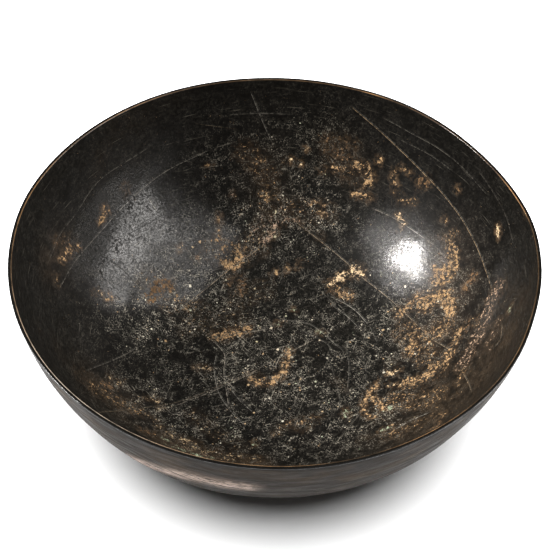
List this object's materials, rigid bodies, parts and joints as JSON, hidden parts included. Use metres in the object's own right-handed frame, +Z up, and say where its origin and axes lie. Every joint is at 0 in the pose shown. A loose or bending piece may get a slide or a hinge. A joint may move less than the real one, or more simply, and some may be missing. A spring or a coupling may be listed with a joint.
{
  "type": "bronze bowl",
  "caption": "Deep round bowl of thin, dark patinated bronze with a plain level rim, which stands on a small flat and holds food or drink.",
  "frame": {"origin": "middle of the standing flat, on the surface that the bowl stands on", "axes": "+Z up along the bowl's axis, towards its open mouth; X and Y are level, and the bowl looks the same along both"},
  "size_m": [0.1998, 0.1998, 0.069],
  "materials": {
    "dark_bronze": "dark half-polished bronze patina with tan and pale green corrosion and fine scratches"
  },
  "bodies": {
    "root": {"bowl": "dark_bronze"}
  },
  "joints": []
}
